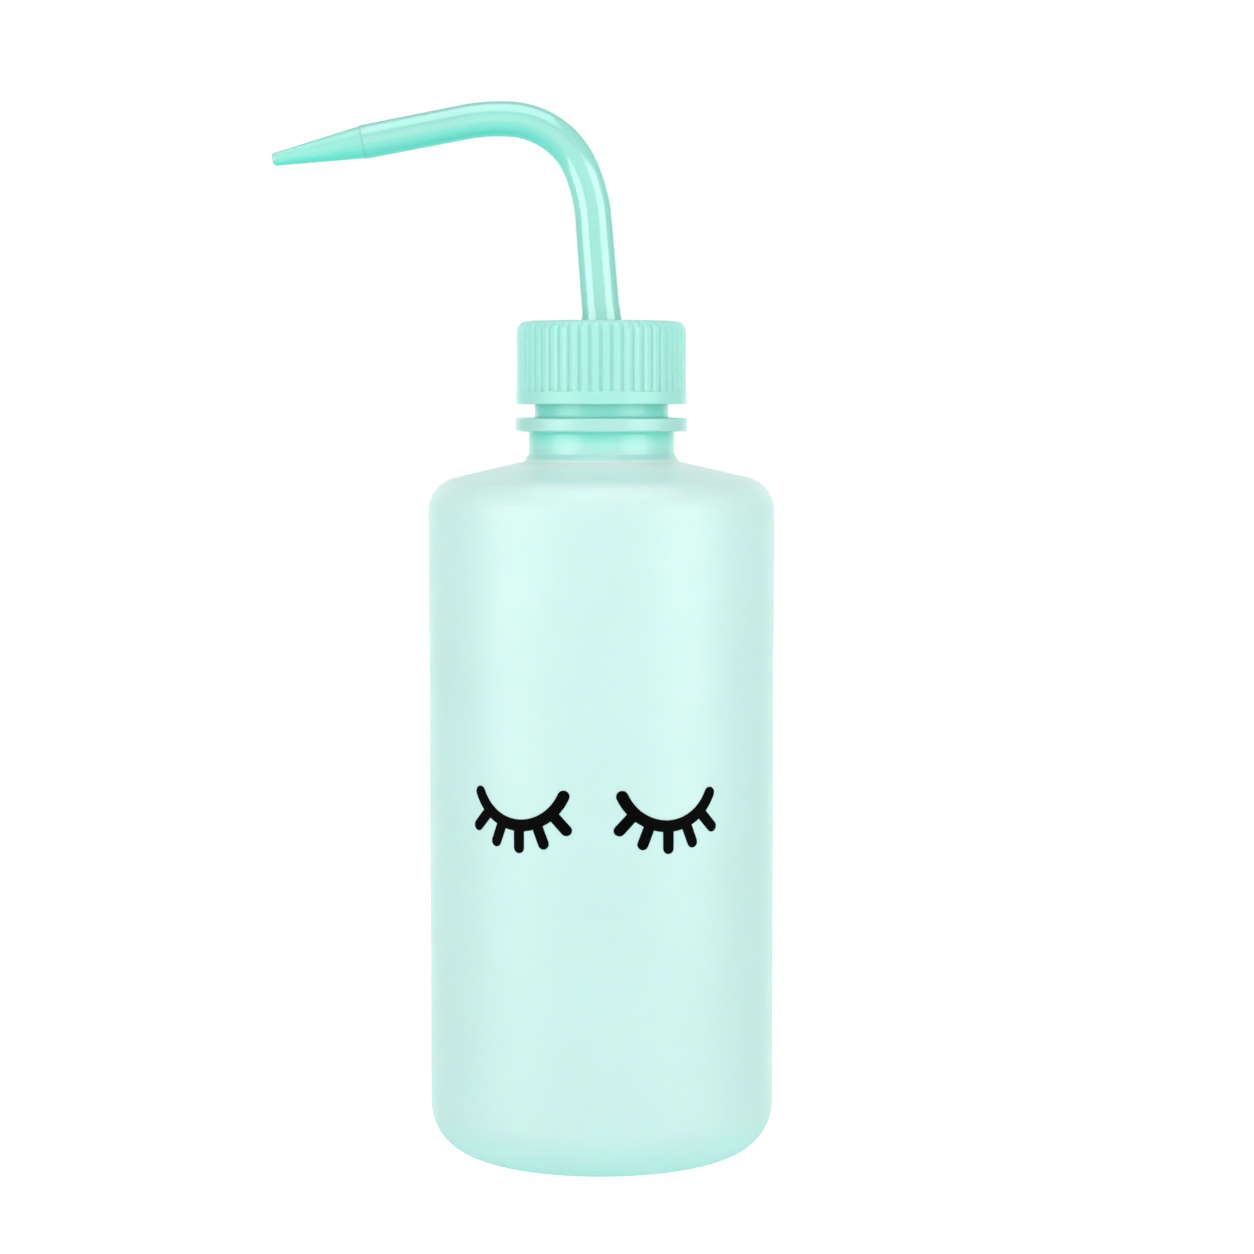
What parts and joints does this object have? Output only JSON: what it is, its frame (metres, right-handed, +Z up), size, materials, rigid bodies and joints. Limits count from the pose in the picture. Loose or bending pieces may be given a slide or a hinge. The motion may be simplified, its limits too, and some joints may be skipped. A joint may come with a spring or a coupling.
{
  "type": "wash bottle",
  "caption": "Squeeze wash bottle with a ribbed screw cap, a swivelling goose-neck spout with a tapered nozzle, a dip tube and a printed closed-eye motif.",
  "frame": {"origin": "centre of the base plane, on the bottle's axis", "axes": "+Z up along the bottle's axis; the spout points towards -X; the printed face looks towards -Y"},
  "size_m": [0.0869, 0.06, 0.1828],
  "materials": {
    "body_plastic": "translucent soft satin polyethylene, pale mint",
    "cap_plastic": "moulded semi-gloss plastic, mint",
    "spout_plastic": "extruded semi-gloss polyethylene, mint",
    "nozzle_plastic": "drawn glossy polyethylene, mint",
    "liner_foam": "white closed-cell foam",
    "dip_tube_plastic": "natural translucent polyethylene",
    "print_ink": "satin black screen-print ink"
  },
  "bodies": {
    "bottle": {"bottle": "body_plastic", "eyelash_print_left": "print_ink", "eyelash_print_right": "print_ink"},
    "stopper": {"neck_plug": "cap_plastic", "cap_liner": "liner_foam"},
    "cap": {"screw_cap": "cap_plastic"},
    "spout": {"delivery_spout": "spout_plastic", "nozzle_tip": "nozzle_plastic", "dip_tube": "dip_tube_plastic"}
  },
  "joints": [
    {"name": "stopper_lift", "type": "slide", "parent": "bottle", "child": "stopper", "axis": [0, 0, 1], "range_m": [0, 0.006]},
    {"name": "cap_turn", "type": "hinge", "parent": "stopper", "child": "cap", "pos_m": [0, 0, 0.138], "axis": [0, 0, 1], "range_deg": [0, 540]},
    {"name": "spout_swivel", "type": "hinge", "parent": "stopper", "child": "spout", "pos_m": [0, 0, 0.1445], "axis": [0, 0, 1], "continuous": true}
  ],
  "couplings": [
    {"joint": "stopper_lift", "follows": "cap_turn", "m_per_rad": 0.00063661}
  ]
}
